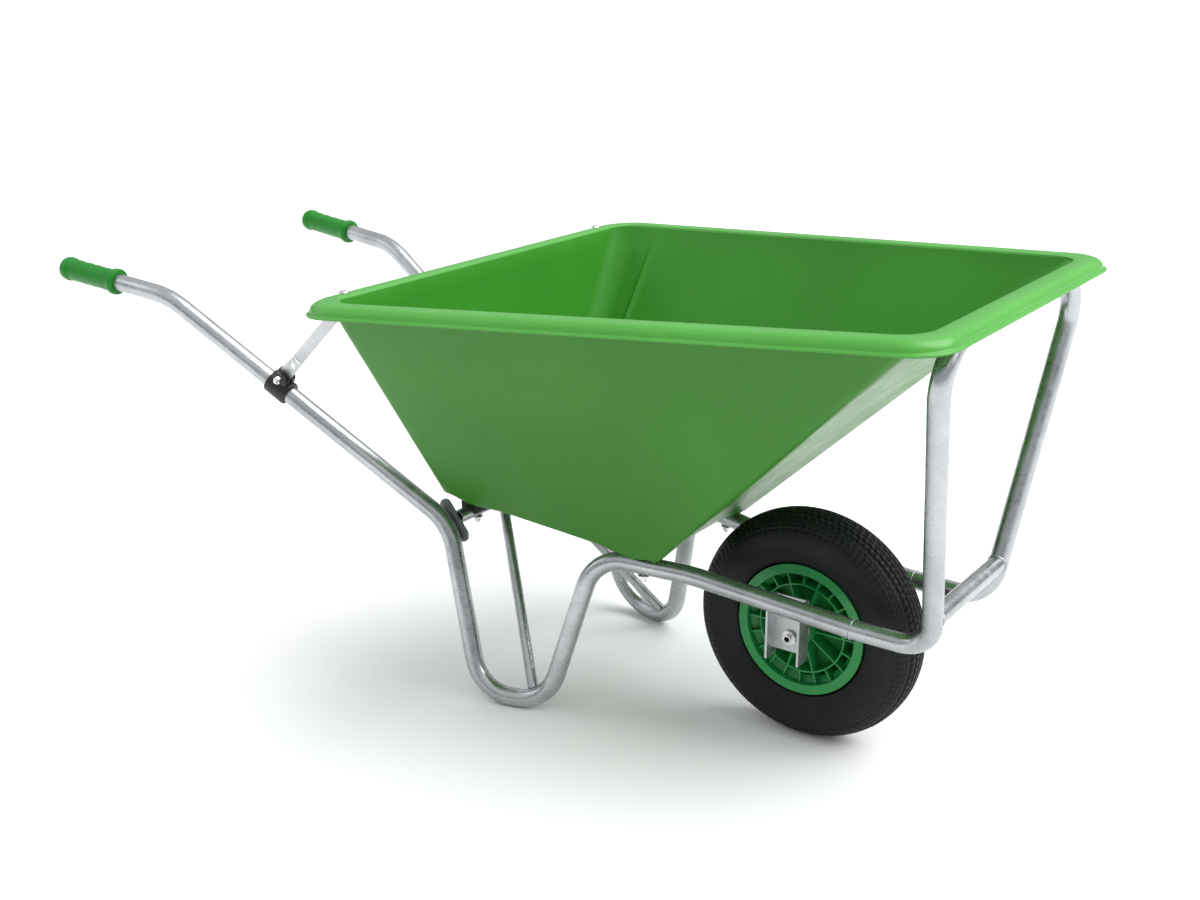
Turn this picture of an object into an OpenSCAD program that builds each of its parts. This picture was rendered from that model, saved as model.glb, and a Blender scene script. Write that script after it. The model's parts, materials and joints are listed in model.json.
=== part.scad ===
// Single-wheel barrow with a moulded tub on a bent steel-tube frame.
// Lengths run from the wheel axle: +X towards the nose, +Y to the left hand,
// +Z up from the ground. placed() then moves everything so that the origin
// lies on the ground under the middle of the overall length.

/* [Overall] */
// Distance from the middle of the overall length forward to the wheel axle
axle_x = 565; // [555:1:575]

/* [Frame tube] */
// Outside diameter of the frame tube
tube_d = 32; // [30:0.5:32]
// Wall thickness of the frame tube
tube_wall = 2; // [1.5:0.5:3]
// Outside diameter of the leg braces
brace_d = 19; // [16:1:20]
// Outside diameter of the cross tube under the back of the tub
rear_cross_d = 25; // [20:1:26]

/* [Handles and legs] */
// Distance from the axle back to the handle tube ends
handle_reach = 1458; // [1440:1:1465]
// Height of the handle tube ends
handle_height = 685; // [670:1:700]
// Half the distance between the handle tube ends
handle_half_span = 323; // [310:1:330]
// Half the distance between the feet
foot_half_span = 220; // [214:1:226]
// Bend radius at the feet and the knees
leg_bend_r = 76; // [72:1:78]

/* [Hoop] */
// Height of the hoop's bar under the front rim
hoop_height = 783.5; // [780:0.5:783.5]
// Half the width of the hoop where its corners would meet
hoop_half_width = 281; // [270:1:290]

/* [Wheel] */
// Outside diameter of the tyre
tyre_d = 400; // [396:1:404]
// Width of the tyre
tyre_w = 98; // [92:1:100]
// Diameter over the rim flanges
rim_d = 230; // [228:1:232]
// Width over the rim flanges
rim_w = 79; // [76:1:80]
// Outside diameter of the hollow axle
axle_d = 20; // [18:1:20]
// Bore of the hollow axle
axle_bore_d = 10; // [8:0.5:12]

/* [Tub] */
// Distance from the axle back to the rear edge of the rim bead
tub_rear = 712; // [700:1:716]
// Distance from the axle forward to the front edge of the rim bead
tub_front = 341; // [336:1:345]
// Half the width of the rim at the rear
tub_rear_half = 460; // [450:1:465]
// Half the width of the rim at the front
tub_front_half = 357; // [350:1:362]
// Wall thickness of the tub
tub_wall = 4.5; // [3.5:0.5:5]

/* [Hidden] */
tube_r = tube_d / 2;
tube_bore_r = tube_r - tube_wall;
weld_gap = 0.05;
// The wall of a bend holds the ends of its straights, which reach this far into it
bend_swell = 0.03;
bend_overlap = 1;
steel = "LightSteelBlue";
green = "ForestGreen";
black = [0.12, 0.12, 0.13];

// Corners of the left side tube, from the handle end to the joint by the wheel
wrist = [-1195, 303, 660];
hip = [-617, 200, 303];
heel = [-526, foot_half_span + 18, tube_r];
toe = [-400, foot_half_span - 13, tube_r];
knee = [-331, 157, 296];
rail_back = [-165, 118, 286];
rail_front = [131, 117, 266.5];
rail_end = rail_front + unit(rail_back - rail_front);
handle_end = [-handle_reach, handle_half_span, handle_height];
side_points = [handle_end, wrist, hip, heel, toe, knee, rail_back, rail_end];
hip_bend_r = 105;
side_bends = [160, hip_bend_r, leg_bend_r, leg_bend_r, 72, 200];

// Corners of the hoop, from the left rail over the top to the right rail
hoop_foot = [261, 113, 264];
hoop_top = [307.5, hoop_half_width, hoop_height];
hoop_points = [
    rail_front, hoop_foot, hoop_top, right(hoop_top), right(hoop_foot), right(rail_front)
];
hoop_bends = [58, 66, 66, 58];
spigot_length = 40;
spigot_clearance = 0.2;

// Nose cross tube between the hoop's legs
nose_cross_z = 325;
nose_cross_d = 30;

// Grips
grip_length = 137;
grip_r = 20;
grip_wall_clearance = 0.1;

// Wheel
axle_z = tyre_d / 2;
tyre_round_r = tyre_w / 2;
tyre_ring_r = tyre_d / 2 - tyre_round_r;
tyre_wall = 8;
bead_r = 104;
rim_thick = 4;
hub_r = 24;
hub_half = 36;
bearing_r = 17.5;
bearing_w = 10;
axle_half = 84;
long_ribs = 10;
short_ribs = 20;
rib_half = 32;
barrel_r = 93;
ring_rib_r = 79;

// Axle brackets
bracket_y = 68;
bracket_thick = 4;
bracket_half = 31;
bracket_depth = 33;
bracket_bottom = axle_z - 26;

// Tub: outer corners of the floor and of the walls under the rim
floor_rear = [-652, 187, 347];
floor_front = [-205, 160, 307];
wall_rear = [-672, 420];
wall_front = [302, 318];
floor_round = 32;
floor_lean = atan((floor_rear[2] - floor_front[2])
    / (floor_front[0] - floor_rear[0] - 2 * floor_round));
corner_round = 50;
floor_corners = [
    [floor_rear[0] + floor_round, floor_rear[1] - floor_round, floor_rear[2] + floor_round],
    [floor_front[0] - floor_round, floor_front[1] - floor_round, floor_front[2] + floor_round]
];
rim_tilt = atan(67 / (tub_rear + tub_front));
rim_rear_z = 718;
rim_height = 22;
rim_skin = 4;
bead_out = 5;
bead_height = 4;
rim_run = (tub_rear + tub_front) / cos(rim_tilt);
rim_corner_r = 65;

// Straps, clamps and fasteners
clamp_at = 0.41;
clamp_r = 22;
clamp_length = 46;
strap_w = 22;
strap_thick = 5;
bolt_r = 4;
nut_r = 7.5;
nut_h = 6.5;
washer_r = 10;
washer_h = 1.6;
washer_drop = 1.1;
seat_r = 12;
seat_height = 8;
seat_draft = 0.15;
seat_root_z = 300;
rear_pad_y = 128;
front_bolt_x = -246;
slack = 0.3;

// ---- vectors -------------------------------------------------------------

function unit(v) = v / norm(v);
function right(p) = [p[0], -p[1], p[2]];
function along(p, q, t) = p + (q - p) * t;
function turn(a, b, c) = acos(unit(b - a) * unit(c - b));
function setback(a, b, c, bend_r) = bend_r * tan(turn(a, b, c) / 2);
function bend_centre(a, b, c, bend_r) =
    b + unit(unit(a - b) + unit(c - b)) * bend_r / cos(turn(a, b, c) / 2);
function bend_middle(a, b, c, bend_r) =
    let (centre = bend_centre(a, b, c, bend_r))
    centre + unit(b - centre) * bend_r;

// Ends of straight number i in a run of points with a bend at each inner point
function run_start(points, bends, i) =
    i == 0 ? points[0] :
    points[i] + unit(points[i + 1] - points[i])
        * setback(points[i - 1], points[i], points[i + 1], bends[i - 1]);
function run_end(points, bends, i) =
    i == len(points) - 2 ? points[i + 1] :
    points[i + 1] + unit(points[i] - points[i + 1])
        * setback(points[i], points[i + 1], points[i + 2], bends[i]);

// Height of the tub's floor underside, and of the rim's underside, at a given x
function floor_z(x) = floor_rear[2] + floor_round - floor_round / cos(floor_lean)
    - (x - floor_rear[0] - floor_round) * tan(floor_lean);
function rim_top_z(x) = rim_rear_z + rim_height / cos(rim_tilt) + (x + tub_rear) * tan(rim_tilt);

// ---- shared shapes -------------------------------------------------------

module placed() {
    translate([axle_x, 0, 0]) children();
}

module on_right() {
    mirror([0, 1, 0]) children();
}

// Turns children drawn along +Z so that they start at p and point to q
module between(p, q) {
    d = q - p;
    translate(p)
        rotate([0, acos(d[2] / norm(d)), atan2(d[1], d[0])])
            children();
}

module rod(p, q, r) {
    between(p, q) cylinder(r = r, h = norm(q - p), $fn = 48);
}

module pipe(p, q, r, bore_r) {
    between(p, q) difference() {
        cylinder(r = r, h = norm(q - p), $fn = 48);
        translate([0, 0, -1]) cylinder(r = bore_r, h = norm(q - p) + 2, $fn = 48);
    }
}

// Round bar or pipe bent about the corner b
module elbow(a, b, c, bend_r, r, bore_r = 0) {
    centre = bend_centre(a, b, c, bend_r);
    start = b + unit(a - b) * setback(a, b, c, bend_r);
    x_dir = unit(start - centre);
    z_dir = unit(cross(b - a, c - b));
    y_dir = cross(z_dir, x_dir);
    multmatrix([
        [x_dir[0], y_dir[0], z_dir[0], centre[0]],
        [x_dir[1], y_dir[1], z_dir[1], centre[1]],
        [x_dir[2], y_dir[2], z_dir[2], centre[2]],
        [0, 0, 0, 1]
    ])
        rotate_extrude(angle = turn(a, b, c), $fn = 96)
            translate([bend_r, 0])
                difference() {
                    circle(r = r, $fn = 48);
                    if (bore_r > 0) circle(r = bore_r, $fn = 48);
                }
}

// Bent pipe through a run of points
module bent_pipe(points, bends, r, bore_r) {
    last = len(points) - 2;
    for (i = [0 : last]) {
        step = unit(points[i + 1] - points[i]) * bend_overlap;
        pipe(run_start(points, bends, i) - step * (i == 0 ? 0 : 1),
            run_end(points, bends, i) + step * (i == last ? 0 : 1), r, bore_r);
    }
    for (i = [0 : len(bends) - 1])
        elbow(points[i], points[i + 1], points[i + 2], bends[i], r + bend_swell, bore_r - bend_swell);
}

// Anything turned about the wheel's axis: drawn about Z, laid along Y
module on_axle() {
    translate([0, 0, axle_z]) rotate([90, 0, 0]) children();
}

module ring(r, bore_r, h) {
    difference() {
        cylinder(r = r, h = h, $fn = 72);
        translate([0, 0, -1]) cylinder(r = bore_r, h = h + 2, $fn = 72);
    }
}

module hex_nut(bore_r = bolt_r) {
    difference() {
        cylinder(r = nut_r, h = nut_h, $fn = 6);
        translate([0, 0, -1]) cylinder(r = bore_r, h = nut_h + 2, $fn = 32);
    }
}

// Domed bolt, head down to z = 0 and shank below it
module dome_bolt(length) {
    translate([0, 0, -length]) cylinder(r = bolt_r - 0.1, h = length, $fn = 32);
    intersection() {
        translate([0, 0, -8]) sphere(r = 12.5, $fn = 48);
        cylinder(r = 9.5, h = 10, $fn = 48);
    }
}

// ---- frame ---------------------------------------------------------------

module side_tube() {
    difference() {
        bent_pipe(side_points, side_bends, tube_r, tube_bore_r);
        translate([front_bolt_x, front_bolt_y(), 200]) cylinder(r = bolt_r + 0.4, h = 200, $fn = 32);
    }
}

// Line of the rail between the knee and rail_back, where the front floor bolts pass
function front_bolt_y() =
    along(knee, rail_back, (front_bolt_x - knee[0]) / (rail_back[0] - knee[0]))[1];
function front_bolt_z() =
    along(knee, rail_back, (front_bolt_x - knee[0]) / (rail_back[0] - knee[0]))[2];

module left_side_tube() {
    color(steel) placed() side_tube();
}

module right_side_tube() {
    color(steel) placed() on_right() side_tube();
}

// Swaged end of the hoop that plugs into the side tube
module spigot() {
    inwards = unit(rail_back - rail_front) * spigot_length;
    onwards = unit(hoop_foot - rail_front);
    bore_r = tube_bore_r - spigot_clearance - tube_wall;
    pipe(rail_front + inwards, rail_front - inwards * 0.2, tube_bore_r - spigot_clearance, bore_r);
    pipe(rail_front + onwards * 3, rail_front + onwards * 20, tube_bore_r + tube_wall / 2, bore_r + 1);
}

module front_hoop() {
    color(steel) placed() union() {
        bent_pipe(hoop_points, hoop_bends, tube_r, tube_bore_r);
        spigot();
        on_right() spigot();
    }
}

module hoop_legs(r) {
    rod(hoop_foot, hoop_top, r);
    on_right() rod(hoop_foot, hoop_top, r);
}

module nose_cross_tube() {
    at = along(hoop_foot, hoop_top, (nose_cross_z - hoop_foot[2]) / (hoop_top[2] - hoop_foot[2]));
    color(steel) placed() difference() {
        pipe(right(at), at, nose_cross_d / 2, nose_cross_d / 2 - tube_wall);
        hoop_legs(tube_r + 6 * weld_gap);
    }
}

hip_middle = bend_middle(wrist, hip, heel, hip_bend_r);
plate_y = hip_middle[1] - tube_r - 5;
plate_thick = 4;

// Flat tab on the inner face of the hip bend
module rear_bracket() {
    tab_run = 30;
    tab_r = 13;
    lean = 52;
    color(steel) placed()
        translate([hip_middle[0] + 4, plate_y, hip_middle[2] + 6])
            rotate([-90, 0, 0]) rotate([0, 0, lean])
                linear_extrude(plate_thick) union() {
                    for (end = [-1, 1])
                        translate([end * tab_run, 0]) circle(r = tab_r, $fn = 48);
                    square([2 * tab_run, 2 * tab_r], center = true);
                }
}

module left_rear_bracket() {
    rear_bracket();
}

module right_rear_bracket() {
    on_right() rear_bracket();
}

rear_cross = [hip_middle[0] + 10, plate_y, hip_middle[2] + 12];

module rear_cross_tube() {
    bore_r = rear_cross_d / 2 - tube_wall;
    color(steel) placed() difference() {
        pipe(right(rear_cross), rear_cross, rear_cross_d / 2, bore_r);
        for (side = [-1, 1])
            translate([rear_cross[0], side * rear_pad_y, rear_cross[2] - 40])
                cylinder(r = bolt_r + 0.4, h = 80, $fn = 32);
    }
}

// The brace stands on the front bend of the leg, this far round it from the ground run
brace_turn = 26;
brace_gap = 0.9;
leg_centre = bend_centre(heel, toe, knee, leg_bend_r);
leg_down = unit(run_end(side_points, side_bends, 3) - leg_centre);
leg_ahead = unit(toe - heel);
brace_foot = leg_centre + (leg_down * cos(brace_turn) + leg_ahead * sin(brace_turn)) * leg_bend_r;
leg_dir = leg_ahead * cos(brace_turn) - leg_down * sin(brace_turn);
brace_top = [rear_cross[0] + 4, 58, rear_cross[2] - 6];

module leg_brace() {
    color(steel) placed() difference() {
        pipe(brace_foot, brace_top, brace_d / 2, brace_d / 2 - 1.5);
        rod(right(rear_cross), rear_cross, rear_cross_d / 2 + weld_gap);
        rod(brace_foot - leg_dir * 50, brace_foot + leg_dir * 50, tube_r + brace_gap);
    }
}

module left_leg_brace() {
    leg_brace();
}

module right_leg_brace() {
    on_right() leg_brace();
}

// Folded channel that hangs from the inner side of the rail and holds the axle
module axle_bracket() {
    flange_drop = 9;
    top = 272;
    color(steel) placed() difference() {
        union() {
            translate([-bracket_half, bracket_y, bracket_bottom])
                cube([2 * bracket_half, bracket_thick, top - bracket_bottom]);
            for (x = [-bracket_half, bracket_half - bracket_thick])
                translate([x, bracket_y, bracket_bottom - flange_drop])
                    cube([bracket_thick, bracket_depth, top + flange_drop - bracket_bottom]);
        }
        rod(rail_back, rail_front, tube_r + weld_gap);
        on_axle() cylinder(r = axle_d / 2 + 0.1, h = 400, center = true, $fn = 64);
    }
}

module left_axle_bracket() {
    axle_bracket();
}

module right_axle_bracket() {
    on_right() axle_bracket();
}

// ---- grips ---------------------------------------------------------------

module grip() {
    cap = 6;
    bore_r = tube_r + grip_wall_clearance;
    color(green) placed()
        between(handle_end + unit(handle_end - wrist) * (cap + 0.2), wrist)
            difference() {
                union() {
                    cylinder(r = grip_r, h = grip_length, $fn = 64);
                    cylinder(r = grip_r + 3, h = 10, $fn = 64);
                    translate([0, 0, grip_length - 7]) cylinder(r = grip_r + 5, h = 7, $fn = 64);
                }
                translate([0, 0, cap]) cylinder(r = bore_r, h = grip_length, $fn = 64);
            }
}

module left_grip() {
    grip();
}

module right_grip() {
    on_right() grip();
}

// ---- tub -----------------------------------------------------------------

// Four-cornered outline with round corners, its corners given anticlockwise
module round_quad(corners, r) {
    for (c = corners) translate(c) circle(r = r, $fn = 64);
    polygon([
        for (i = [0 : 3])
            let (
                p = corners[i],
                q = corners[(i + 1) % 4],
                out = unit([q[1] - p[1], p[0] - q[0]]) * r
            )
            each [p + out, q + out]
    ]);
}

// Outline of the rim in its own tilted plane, moved in from the bead by inset
module rim_outline(inset) {
    round_quad([
        [rim_corner_r, rim_corner_r - tub_rear_half],
        [rim_run - rim_corner_r, rim_corner_r - tub_front_half],
        [rim_run - rim_corner_r, tub_front_half - rim_corner_r],
        [rim_corner_r, tub_rear_half - rim_corner_r]
    ], rim_corner_r - inset);
}

// The mouth of the tub in the rim's plane, at the inner face of the walls
module mouth_outline(r) {
    back = tub_rear + wall_rear[0] + corner_round;
    front = tub_rear + wall_front[0] - corner_round;
    round_quad([
        [back, corner_round - wall_rear[1]],
        [front, corner_round - wall_front[1]],
        [front, wall_front[1] - corner_round],
        [back, wall_rear[1] - corner_round]
    ], r);
}

module in_rim_plane() {
    translate([-tub_rear, 0, rim_rear_z]) rotate([0, -rim_tilt, 0]) children();
}

// Smooth body between the floor's corners and the mouth, moved in by inset
module tub_hull(inset, mouth_z, mouth_h) {
    hull() {
        for (side = [-1, 1], corner = floor_corners)
            translate([corner[0], side * corner[1], corner[2]])
                sphere(r = floor_round - inset, $fn = 32);
        in_rim_plane() translate([0, 0, mouth_z])
            linear_extrude(mouth_h) mouth_outline(corner_round - inset);
    }
}

// Rolled rim: bead, skirt and top plate, open below
module rim_roll() {
    in_rim_plane() difference() {
        union() {
            linear_extrude(bead_height) rim_outline(0);
            linear_extrude(rim_height - 6) rim_outline(bead_out);
            linear_extrude(rim_height - 3) rim_outline(bead_out + 2.5);
            linear_extrude(rim_height) rim_outline(bead_out + 7);
        }
        translate([0, 0, -1]) linear_extrude(rim_height - rim_skin + 1)
            rim_outline(bead_out + rim_skin);
    }
}

module bolt_holes(r) {
    for (side = [-1, 1]) {
        translate([rear_cross[0], side * rear_pad_y, 300]) cylinder(r = r, h = 120, $fn = 32);
        translate([front_bolt_x, side * front_bolt_y(), 250]) cylinder(r = r, h = 120, $fn = 32);
        strap_bolt_at(side) translate([0, 0, -20]) cylinder(r = r, h = 60, $fn = 32);
    }
}

module tub() {
    color(green) placed() difference() {
        union() {
            tub_hull(0, rim_height - rim_skin - 1, rim_skin);
            rim_roll();
        }
        difference() {
            tub_hull(tub_wall, rim_height - rim_skin - 2, 3 * rim_skin);
            bolt_seats();
        }
        bolt_holes(bolt_r + 0.4);
    }
}

// Level seats for the bolt heads, drawn in towards the top so that they leave the mould
module bolt_seats() {
    for (at = floor_bolt_xy) {
        h = inside_z(at[0]) + seat_height - seat_root_z;
        translate([at[0], at[1], seat_root_z])
            cylinder(r1 = seat_r + seat_draft * h, r2 = seat_r, h = h, $fn = 48);
    }
}

// Rubber blocks between the rear cross tube and the floor of the tub
module rear_buffers() {
    bottom = rear_cross[2];
    color(black) placed() for (side = [-1, 1])
        difference() {
            translate([rear_cross[0] - 16, side * rear_pad_y - 24, bottom])
                cube([32, 48, floor_z(rear_cross[0] + 16) - bottom - slack]);
            rod(right(rear_cross), rear_cross, rear_cross_d / 2 + weld_gap);
            translate([rear_cross[0], side * rear_pad_y, bottom - 5])
                cylinder(r = bolt_r + 0.4, h = 60, $fn = 32);
        }
}

// Each floor bolt: place of its hole, and length from the tub's floor down
floor_bolt_xy = [
    [rear_cross[0], rear_pad_y], [rear_cross[0], -rear_pad_y],
    [front_bolt_x, front_bolt_y()], [front_bolt_x, -front_bolt_y()]
];
function inside_z(x) = floor_z(x) + tub_wall / cos(floor_lean);
function tube_bottom_z(x) =
    x == front_bolt_x ? front_bolt_z() - tube_r : rear_cross[2] - rear_cross_d / 2;

module floor_bolts() {
    color("silver") placed() for (at = floor_bolt_xy)
        translate([at[0], at[1], inside_z(at[0]) + seat_height + 0.3])
            dome_bolt(inside_z(at[0]) + seat_height - tube_bottom_z(at[0]) + 14);
}

module floor_washers() {
    color("silver") placed() for (at = floor_bolt_xy)
        translate([at[0], at[1], tube_bottom_z(at[0]) - washer_h - washer_drop])
            ring(washer_r, bolt_r + 0.2, washer_h);
}

module floor_nuts() {
    color("silver") placed() for (at = floor_bolt_xy)
        translate([at[0], at[1], tube_bottom_z(at[0]) - washer_h - nut_h - washer_drop - 0.1])
            hex_nut();
}

// ---- straps and clamps ---------------------------------------------------

clamp_point = along(wrist, hip, clamp_at);
clamp_dir = unit(hip - wrist);
// Ear of the clamp: up and forward from the tube, square to it
ear_dir = unit(cross(cross(clamp_dir, [0, 0.25, 1]), clamp_dir));
clamp_side = cross(ear_dir, clamp_dir);
strap_foot = clamp_point + ear_dir * (clamp_r + 8);
strap_head = [-690, 356, rim_top_z(-690) - rim_skin - 3.2];

module clamp_frame() {
    multmatrix([
        [clamp_dir[0], clamp_side[0], ear_dir[0], clamp_point[0]],
        [clamp_dir[1], clamp_side[1], ear_dir[1], clamp_point[1]],
        [clamp_dir[2], clamp_side[2], ear_dir[2], clamp_point[2]],
        [0, 0, 0, 1]
    ]) children();
}

ear_w = 13;
ear_h = 17;
ear_gap = strap_thick + 0.2;
clamp_parting = 1;

// Half collar, drawn with the tube along X and the ears along +Z
module clamp_half(side) {
    intersection() {
        difference() {
            union() {
                rotate([0, 90, 0])
                    cylinder(r = clamp_r, h = clamp_length, center = true, $fn = 64);
                translate([-ear_h, -ear_w, 0]) cube([2 * ear_h, 2 * ear_w, clamp_r + ear_h]);
            }
            rotate([0, 90, 0])
                cylinder(r = tube_r + weld_gap, h = clamp_length + 2, center = true, $fn = 64);
            translate([-40, -ear_gap / 2, 0]) cube([80, ear_gap, 60]);
            translate([0, 0, clamp_r + 8]) rotate([90, 0, 0])
                cylinder(r = bolt_r + 0.3, h = 60, center = true, $fn = 32);
        }
        translate([-50, side > 0 ? clamp_parting / 2 : -50 - clamp_parting / 2, -50])
            cube([100, 50, 100]);
    }
}

module left_clamp_upper() {
    color(black) placed() clamp_frame() clamp_half(1);
}

module left_clamp_lower() {
    color(black) placed() clamp_frame() clamp_half(-1);
}

module right_clamp_upper() {
    on_right() left_clamp_upper();
}

module right_clamp_lower() {
    on_right() left_clamp_lower();
}

module clamp_bolts() {
    color("silver") placed() for (side = [0, 1]) mirror([0, side, 0])
        clamp_frame() translate([0, 0, clamp_r + 8]) rotate([90, 0, 0]) {
            translate([0, 0, -24]) cylinder(r = bolt_r - 0.1, h = 38, $fn = 32);
            translate([0, 0, 13.2]) cylinder(r = 7, h = 4.5, $fn = 48);
        }
}

module clamp_nuts() {
    color("silver") placed() for (side = [0, 1]) mirror([0, side, 0])
        clamp_frame() translate([0, ear_w + 0.2, clamp_r + 8]) rotate([-90, 0, 0])
            hex_nut();
}

// Flat strap: its lower eye sits between the clamp's ears, its head lies under the rim
strap_bend = strap_foot + in_ear_plane(strap_head - strap_foot) * 0.2;
// It passes below the rim's skirt, then stands up inside the rim and turns under its plate
strap_elbow = [-716, strap_head[1] - 10.5, rim_rear_z - 14];
strap_end = [-692, strap_head[1] - 10.5, rim_rear_z - 12];
tab_w = 18;
tab_top = strap_head[2] + strap_thick / 2 - tab_w / 2;
function in_ear_plane(v) = v - (v * clamp_side) * clamp_side;

module strap_bolt_at(side) {
    translate([strap_head[0], side * strap_head[1], strap_head[2]])
        rotate([0, -rim_tilt, 0]) children();
}

// Flat bar from p to q with round ends, its broad faces as square to normal as can be
module flat_bar(p, q, normal, w, thick) {
    x_dir = unit(q - p);
    z_dir = unit(normal - (normal * x_dir) * x_dir);
    y_dir = cross(z_dir, x_dir);
    multmatrix([
        [x_dir[0], y_dir[0], z_dir[0], p[0]],
        [x_dir[1], y_dir[1], z_dir[1], p[1]],
        [x_dir[2], y_dir[2], z_dir[2], p[2]],
        [0, 0, 0, 1]
    ]) linear_extrude(thick, center = true) union() {
        translate([0, -w / 2]) square([norm(q - p), w]);
        circle(r = w / 2, $fn = 48);
        translate([norm(q - p), 0]) circle(r = w / 2, $fn = 48);
    }
}

module strap() {
    color(steel) placed() difference() {
        union() {
            flat_bar(strap_foot, strap_bend, clamp_side, strap_w, strap_thick);
            flat_bar(strap_bend, strap_elbow, clamp_side, strap_w - 1, strap_thick - 0.6);
            flat_bar(strap_elbow, strap_end, [0, 1, 0], strap_w - 2, strap_thick - 0.8);
            flat_bar(strap_end, [strap_end[0], strap_end[1], tab_top], [0, 1, 0],
                tab_w, strap_thick - 0.8);
            strap_bolt_at(1) {
                cylinder(r = strap_w / 2, h = strap_thick, center = true, $fn = 48);
                translate([-tab_w / 2, -12, -strap_thick / 2])
                    cube([tab_w - 2, 12, strap_thick]);
            }
        }
        clamp_frame() translate([0, 0, clamp_r + 8]) rotate([90, 0, 0])
            cylinder(r = bolt_r + 0.3, h = 60, center = true, $fn = 32);
        strap_bolt_at(1) cylinder(r = bolt_r + 0.3, h = 60, center = true, $fn = 32);
    }
}

module left_strap() {
    strap();
}

module right_strap() {
    on_right() strap();
}

module strap_bolts() {
    color("silver") placed() for (side = [-1, 1])
        strap_bolt_at(side) translate([0, 0, rim_skin + 3.4]) dome_bolt(24);
}

module strap_nuts() {
    color("silver") placed() for (side = [-1, 1])
        strap_bolt_at(side) translate([0, 0, -nut_h - strap_thick / 2 - 0.2]) hex_nut();
}

// ---- wheel ---------------------------------------------------------------

// Fixed hollow axle with a narrower threaded tip at each end
module axle() {
    tip = 7;
    color("silver") placed() on_axle() difference() {
        union() {
            cylinder(r = axle_d / 2, h = 2 * (axle_half - tip), center = true, $fn = 64);
            cylinder(r = axle_d / 2 - 3.2, h = 2 * axle_half, center = true, $fn = 64);
        }
        cylinder(r = axle_bore_d / 2, h = 3 * axle_half, center = true, $fn = 64);
    }
}

module both_ends() {
    on_axle() for (end = [0, 1]) mirror([0, 0, end]) children();
}

module axle_washers() {
    color("silver") placed() both_ends()
        translate([0, 0, bracket_y + bracket_thick + 0.1]) ring(13, axle_d / 2 + 0.1, 1.2);
}

// Ribbed collar nut on each end of the axle
module axle_nuts() {
    ribs = 3;
    rib_pitch = 1.6;
    color("silver") placed() both_ends()
        translate([0, 0, bracket_y + bracket_thick + 1.4]) difference() {
            union() {
                cylinder(r = 11, h = ribs * rib_pitch, $fn = 64);
                for (i = [0 : ribs - 1])
                    translate([0, 0, i * rib_pitch]) cylinder(r = 12, h = rib_pitch / 2, $fn = 64);
            }
            translate([0, 0, -1]) cylinder(r = axle_d / 2 + 0.05, h = 10, $fn = 64);
        }
}

module axle_spacers() {
    inner = hub_half + 0.8;
    color(black) placed() both_ends()
        translate([0, 0, inner]) ring(14, axle_d / 2 + 0.15, bracket_y - inner - 0.2);
}

// Plain bearing bushes pressed into the hub, running on the axle
module wheel_bearings() {
    color([0.85, 0.85, 0.82]) placed() both_ends()
        translate([0, 0, hub_half - bearing_w]) ring(bearing_r, axle_d / 2 + 0.06, bearing_w);
}

module rib(from_r, to_r, half_w) {
    translate([from_r, -1.25, -half_w]) cube([to_r - from_r, 2.5, 2 * half_w]);
}

module wheel_rim() {
    flange_r = rim_d / 2;
    half = rim_w / 2;
    inner_r = barrel_r - rim_thick;
    seat_r = bead_r - rim_thick;
    color(green) placed() on_axle() difference() {
        union() {
            // barrel: flanges, bead seats and the deeper middle
            rotate_extrude($fn = 96) polygon([
                [99, -half], [flange_r, -half], [flange_r, -half + rim_thick],
                [bead_r, -half + rim_thick + 2], [bead_r, -22], [barrel_r, -16], [barrel_r, 16],
                [bead_r, 22], [bead_r, half - rim_thick - 2], [flange_r, half - rim_thick],
                [flange_r, half], [99, half], [seat_r, 24], [inner_r, 17], [inner_r, -17],
                [seat_r, -24]
            ]);
            // web in the middle, hub, ring rib and ribs on both sides
            translate([0, 0, -2]) ring(inner_r + 1, hub_r - 2, 4);
            translate([0, 0, -hub_half]) ring(hub_r, bearing_r, 2 * hub_half);
            translate([0, 0, -rib_half]) ring(ring_rib_r, ring_rib_r - 2.5, 2 * rib_half);
            for (i = [0 : long_ribs - 1])
                rotate(i * 360 / long_ribs) rib(hub_r - 1, ring_rib_r - 1, rib_half);
            for (i = [0 : short_ribs - 1])
                rotate(i * 360 / short_ribs) rib(ring_rib_r - 1, inner_r + 1, 16);
            for (i = [0 : short_ribs - 1])
                rotate(i * 360 / short_ribs) rib(ring_rib_r - 1, seat_r - 1, rib_half);
        }
        cylinder(r = hub_r - 3, h = 2 * (hub_half - bearing_w), center = true, $fn = 64);
        valve_place() translate([valve_run_r, 0, valve_base_z]) rotate([0, 90, 0])
            cylinder(r = 4.4, h = 20, $fn = 32);
    }
}

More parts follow.
